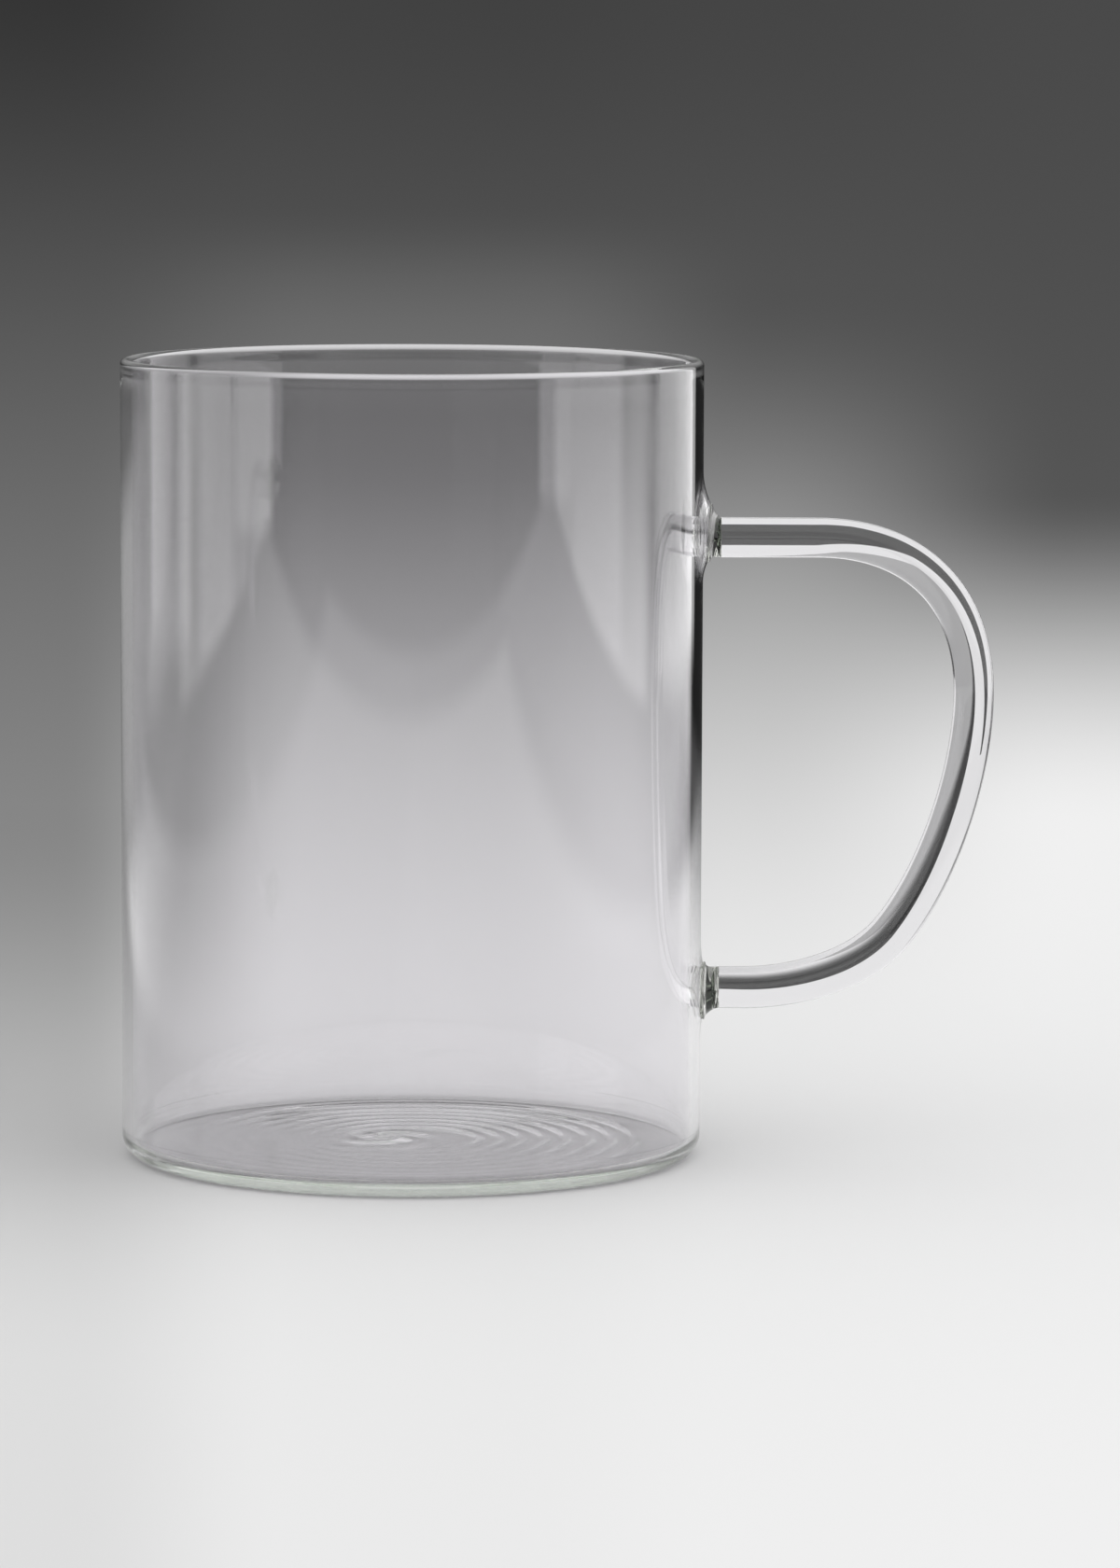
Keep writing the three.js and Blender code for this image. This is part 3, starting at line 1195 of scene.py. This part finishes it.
@dataclass(frozen=True)
class Floor:
    """The floor, pale round the mug and darker away from it: a painted pool of light fading into painted
    shade.

    Three falloffs lie side by side and fan out from a fixed point on the floor, under the camera's place
    for the photograph. A line of the fan is named by how far right it runs over a metre of depth. Beside
    and in front of the mug are painted reflections: a lit pool, a pale patch on the left and a dark patch
    on the right and in front, which show only in light that the glass mirrored.
    """

    fan: Point
    side: float = 4000.0
    drop: float = 0.05 * MM
    front: float = 0.25
    squeeze: float = 1.25
    left: Falloff = Falloff(0.74, 0.24, 0.036, 0.08, 0.4)
    middle: Falloff = Falloff(0.87, 0.085, 0.06, 0.22, 0.76)
    right: Falloff = Falloff(0.88, 0.092, 0.068, 0.385, 0.61)
    left_lines: Point = (-0.072, -0.04)
    plateau: float = 0.75
    middle_lines: Point = (-0.01, 0.026)
    right_lines: Point = (0.026, 0.072)
    glow: float = 0.05
    glow_begin: Point = (0.6, 0.7)
    glow_end: Point = (0.72, 0.82)
    glow_left: Point = (-0.07, -0.035)
    glow_right: Point = (-0.005, 0.03)
    pool_lean: float = 0.06
    pool_edge: Point = (-0.18, -0.12)
    pool_begin: Point = (-0.1, 0.0)
    pool_end: Point = (0.9, 1.4)
    pool_fade: Point = (0.14, 0.34)
    pool_greys: Point = (0.85, 0.35)
    pale_lean: float = 0.2
    pale_edge: Point = (0.324, 0.424)
    pale_end: Point = (0.0, 0.15)
    pale_grey: float = 0.95
    dark_lean: float = 0.3
    dark_edge: Point = (0.262, 0.362)
    dark_end: Point = (0.3, 0.6)
    dark_front: Point = (-0.71, -0.61)
    dark_grey: float = 0.06

    def lay(self) -> None:
        """Lays the floor."""
        clear_selection()
        bpy.ops.mesh.primitive_plane_add(size=self.side, location=(0, 0, -self.drop))
        floor = bpy.context.object
        floor.name = "studio_floor"
        material, graph = new_material("studio_floor")
        across, depth, _ = graph.coordinates("Object")
        # The floor's painted pool of light and painted shade, before its painted reflections.
        plain = self._painted_falloff(graph, across, depth)
        painted_reflection_grey = self._add_painted_reflections(graph, across, depth, plain)
        # Painted reflections: the pool and the patches show only in light that the glass mirrored.
        grey = plain + (painted_reflection_grey - plain) * mirrored(graph)
        paint = graph.node("ShaderNodeBsdfDiffuse", {}, {"Color": grey})
        graph.node("ShaderNodeOutputMaterial", {}, {"Surface": paint})
        floor.data.materials.append(material)

    def _painted_falloff(self, graph: Graph, across: Value, depth: Value) -> Value:
        """Grades the floor with its painted pool of light and painted shade.

        Args:
            graph: Tree to add to.
            across: Place on the floor to the right of the mug.
            depth: Place on the floor behind the mug.

        Returns:
            The floor's grey without its patches.
        """
        share = (depth + self.front) / (depth + self.squeeze)
        line = (across - self.fan[0]) / (depth - self.fan[1])
        left = self.left.grey(graph, share)
        middle = self.middle.grey(graph, share)
        right = self.right.grey(graph, share)
        blend = line.ramp(*self.left_lines, 0.0, self.plateau)
        blend = blend + line.ramp(*self.middle_lines, 0.0, 1.0 - self.plateau)
        grey = left + (middle - left) * blend
        grey = grey + (right - middle) * line.ramp(*self.right_lines)
        # A faint band of painted light on the far floor.
        glow = share.ramp(*self.glow_begin) * share.ramp(*self.glow_end, 1.0, 0.0)
        glow = glow * line.ramp(*self.glow_left) * line.ramp(*self.glow_right, 1.0, 0.0)
        return grey + glow * self.glow

    def _add_painted_reflections(self, graph: Graph, across: Value, depth: Value, grey: Value) -> Value:
        """Adds the painted reflections: a pool and patches that show only where the glass mirrors the
        floor.

        Args:
            graph: Tree to add to.
            across: Place on the floor to the right of the mug.
            depth: Place on the floor behind the mug.
            grey: The floor's grey without them.

        Returns:
            The floor's grey with them.
        """
        pool = (depth * self.pool_lean + across).ramp(*self.pool_edge, 1.0, 0.0)
        pool = pool * depth.ramp(*self.pool_begin) * depth.ramp(*self.pool_end, 1.0, 0.0)
        grey = grey + (depth.ramp(*self.pool_fade, *self.pool_greys) - grey) * pool
        pale = (depth * self.pale_lean - across).ramp(*self.pale_edge)
        pale = pale * depth.ramp(*self.pale_end, 1.0, 0.0)
        grey = grey + (self.pale_grey - grey) * pale
        right = (depth * self.dark_lean + across).ramp(*self.dark_edge)
        right = right * depth.ramp(*self.dark_end, 1.0, 0.0)
        front = depth.ramp(*self.dark_front, 1.0, 0.0)
        dark = graph.node("ShaderNodeMath", {"operation": "MAXIMUM"}, {0: right, 1: front})
        return grey + (self.dark_grey - grey) * dark


@dataclass(frozen=True)
class Dome:
    """The white dome that lights the mug, dim to the camera and to what shows low through the glass."""

    strength: float = 1.0
    lean: float = 0.3
    open_sky: Point = (0.0, 0.08)
    backdrop: Point = (-0.05, 0.28)
    backdrop_side: Point = (0.2, 0.6)
    far: float = 0.047
    low: Point = (0.15, 0.5)

    def hang(self) -> None:
        """Makes the dome the scene's world."""
        world = bpy.data.worlds.new("studio")
        world.use_nodes = True
        graph = Graph(world.node_tree)
        _, behind, up = graph.coordinates("Generated")
        open_sky = up.ramp(*self.open_sky)
        backdrop = up.ramp(*self.backdrop)
        height = open_sky + (backdrop - open_sky) * behind.ramp(*self.backdrop_side)
        above = self.strength * (1.0 - self.lean * behind)
        sky = self.far + (above - self.far) * height
        seen = graph.node("ShaderNodeLightPath", output="Is Camera Ray")
        through = graph.node("ShaderNodeLightPath", output="Is Transmission Ray")
        through = through * (1.0 - mirrored(graph)) * up.ramp(*self.low, 1.0, 0.0)
        shown = sky + (self.far - sky) * (seen + through)
        glow = graph.node("ShaderNodeBackground", {}, {"Color": shown, "Strength": 1.0})
        graph.node("ShaderNodeOutputWorld", {}, {"Surface": glow})
        bpy.context.scene.world = world


# Outlines of the glowing cards behind the handle: the dark cards paint shade, the grey card paints half
# shade and the white card paints highlights into the handle's glass.
UPPER_PAINTED_SHADE_CUT = ((0, -17, 5), (14, -17, 5), (30, -18, -5), (45, -16, -7), (60, -12, -10))
LOWER_PAINTED_SHADE_CUT = ((40, 1, 1), (55, 0.5, 5), (68, 1.5, 14), (92, 1, 22), (109, 3, 22))
GREY_PAINTED_HALF_SHADE_CUT = ((4, 48, 50), (18, 12, 50), (30, 0, 50), (72, 2, 46), (98, 28, 30))
WHITE_PAINTED_HIGHLIGHT_CUT = ((-1, -36, 50), (109, -36, 50))


@dataclass
class Studio:
    """Graded pale floor with painted light, shade and reflections, soft dome, side panels, cards that
    paint shade and highlights into the glass, and the camera.
    """

    path: HandlePath
    camera_place: tuple[float, float, float] = (21.4 * MM, -967.6 * MM, 160.8 * MM)
    camera_pitch: float = 6.451
    camera_yaw: float = 0.056
    camera_roll: float = 0.21
    lens: float = 162.07
    sensor: float = 36.0
    sight: float = 5000.0
    bounces: int = 64
    glass_bounces: int = 48
    clear_bounces: int = 32
    softboxes: tuple[Softbox, ...] = (
        Softbox("left_front_panel", (-0.915, -0.665), (-1.075, -0.349), 1.8, 0.01),
        Softbox("left_panel", (-0.84, -0.28), (-0.6, 0.13), 1.6, 0.008),
        Softbox("left_rear_panel", (-0.5, 0.12), (-0.4, 0.31), 0.75, 0.03, 0.3),
        Softbox("right_panel", (1.11, -0.7), (0.58, 0.2), 1.3, 0.008),
        Softbox("right_rear_panel", (0.57, 0.21), (0.36, 0.6), 1.3, 0.02),
    )
    # Glowing cards that paint shade and highlights into the handle's glass.
    strips: tuple[Strip, ...] = (
        Strip("upper_painted_shade_card", 0.07, 30.0, UPPER_PAINTED_SHADE_CUT),
        Strip("lower_painted_shade_card", 0.04, 31.0, LOWER_PAINTED_SHADE_CUT, 0.6),
        Strip("grey_painted_half_shade_card", 0.4, 32.0, GREY_PAINTED_HALF_SHADE_CUT, 0.2),
        Strip("white_painted_highlight_card", 0.8, 33.0, WHITE_PAINTED_HIGHLIGHT_CUT),
    )

    def build(self) -> None:
        """Sets up the whole studio."""
        Floor(self.camera_place[:2]).lay()
        Dome().hang()
        for softbox in self.softboxes:
            softbox.add()
        Flag().add()
        for strip in self.strips:
            strip.add(self.path)
        self._camera()
        scene = bpy.context.scene
        scene.view_settings.view_transform = "Standard"
        scene.cycles.max_bounces = self.bounces
        scene.cycles.transmission_bounces = self.glass_bounces
        scene.cycles.transparent_max_bounces = self.clear_bounces
        scene.cycles.glossy_bounces = self.glass_bounces

    def _camera(self) -> None:
        """Stands the camera at the photograph's place."""
        clear_selection()
        bpy.ops.object.camera_add(location=self.camera_place)
        camera = bpy.context.object
        camera.name = "studio_camera"
        camera.data.sensor_fit = "AUTO"
        camera.data.sensor_width = self.sensor
        camera.data.lens = self.lens
        camera.data.clip_end = self.sight
        turn = Matrix.Rotation(math.radians(self.camera_yaw), 4, "Z")
        tilt = Matrix.Rotation(math.radians(90.0 - self.camera_pitch), 4, "X")
        roll = Matrix.Rotation(math.radians(self.camera_roll), 4, "Z")
        camera.rotation_euler = (turn @ tilt @ roll).to_euler()
        bpy.context.scene.camera = camera


def main() -> None:
    """Builds the mug and its studio."""
    logging.basicConfig(level=logging.INFO, format="%(name)s: %(message)s")
    tube_low, tube_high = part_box("body_tube")
    rod_low, rod_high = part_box("handle_rod")
    rod_radius = (rod_high.y - rod_low.y) / 2
    upper = Boss(
        Seat.UPPER.rod_height(),
        ring_lift=0.6 * MM,
        ring_radius=4.0 * MM,
        ring_width=4.4 * MM,
        rise=1.32 * MM,
        above=8.6 * MM,
        below=6.8 * MM,
        side=8.5 * MM,
        dimple=1.32 * MM,
    )
    lower = Boss(
        Seat.LOWER.rod_height(),
        ring_lift=-0.5 * MM,
        ring_radius=3.85 * MM,
        ring_width=4.4 * MM,
        rise=0.5 * MM,
        above=7.4 * MM,
        below=6.4 * MM,
        side=7.5 * MM,
        dimple=0.5 * MM,
    )
    wall = Wall(radius=tube_high.y, thickness=1.5 * MM, bosses=(upper, lower))
    clear = GlassFinish(
        "clear_glass",
        tint=(0.962, 0.953, 0.97),
        absorption=(0.25, 0.42, 0.2),
        density=2.8,
    )
    # The seals' olive tint is the thick glass's own colour, but their density, far above the clear
    # glass's, paints shade into the seals.
    melt = GlassFinish(
        "seal_glass",
        tint=(0.965, 0.965, 0.95),
        absorption=(0.36, 0.39, 0.3),
        density=110.0,
    )
    finishes = {"clear_glass": clear.make(), "seal_glass": melt.make()}
    rod_start = rod_low.x
    rod = HandleRod(
        "rod_glass",
        "handle_rod",
        "clear_glass",
        wall,
        upper,
        lower,
        rod_start,
        rod_radius,
        rod_high.x - rod_radius,
    )
    pieces: list[GlassPiece] = [
        BodyTube("tube_glass", "body_tube", "clear_glass", wall, tube_low.z + JOINT_GAP, tube_high.z),
        Base("base_glass", "base", "clear_glass", wall, tube_low.z),
        rod,
        HandleSeal(
            "upper_seal_glass",
            Seat.UPPER.value,
            "seal_glass",
            wall,
            upper,
            rod_start,
            rod_radius * rod.fullness[0],
        ),
        HandleSeal(
            "lower_seal_glass",
            Seat.LOWER.value,
            "seal_glass",
            wall,
            lower,
            rod_start,
            rod_radius * rod.fullness[-1],
        ),
    ]
    for piece in pieces:
        piece.make(finishes[piece.slot])
    Studio(HandlePath(rod.stations())).build()


if __name__ == "__main__":
    main()
